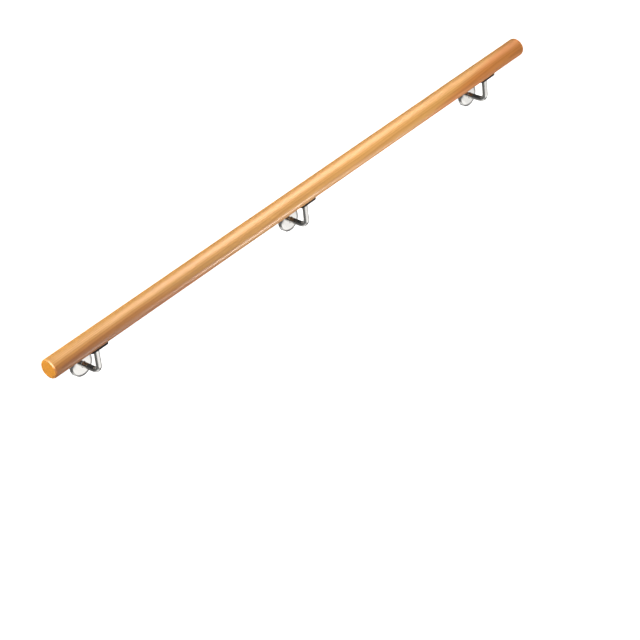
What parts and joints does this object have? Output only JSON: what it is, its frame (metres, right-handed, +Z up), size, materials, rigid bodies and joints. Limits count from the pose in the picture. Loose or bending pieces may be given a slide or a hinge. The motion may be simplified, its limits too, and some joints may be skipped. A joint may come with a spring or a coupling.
{
  "type": "stair handrail",
  "caption": "Round lacquered wooden stair handrail on bent-rod stainless steel wall brackets, each with a round wall plate and a curved saddle screwed under the rail.",
  "frame": {"origin": "on the floor, under the middle of the handrail as it lies unheld", "axes": "+X along the rail to the end that is lower on the stair, +Y from the rail to the wall plates, +Z up from the floor"},
  "size_m": [1.5, 0.1402, 0.0625],
  "materials": {
    "rail_wood": "satin lacquer",
    "bracket_steel": "polished",
    "saddle_black": "satin",
    "screw_steel": "satin"
  },
  "bodies": {
    "root": {"handrail": "rail_wood", "wall_plate_lower": "bracket_steel", "bracket_arm_lower": "bracket_steel", "saddle_lower": "saddle_black", "saddle_screw_lower_1": "screw_steel", "saddle_screw_lower_2": "screw_steel", "wall_plate_middle": "bracket_steel", "bracket_arm_middle": "bracket_steel", "saddle_middle": "saddle_black", "saddle_screw_middle_1": "screw_steel", "saddle_screw_middle_2": "screw_steel", "wall_plate_upper": "bracket_steel", "bracket_arm_upper": "bracket_steel", "saddle_upper": "saddle_black", "saddle_screw_upper_1": "screw_steel", "saddle_screw_upper_2": "screw_steel"}
  },
  "joints": []
}
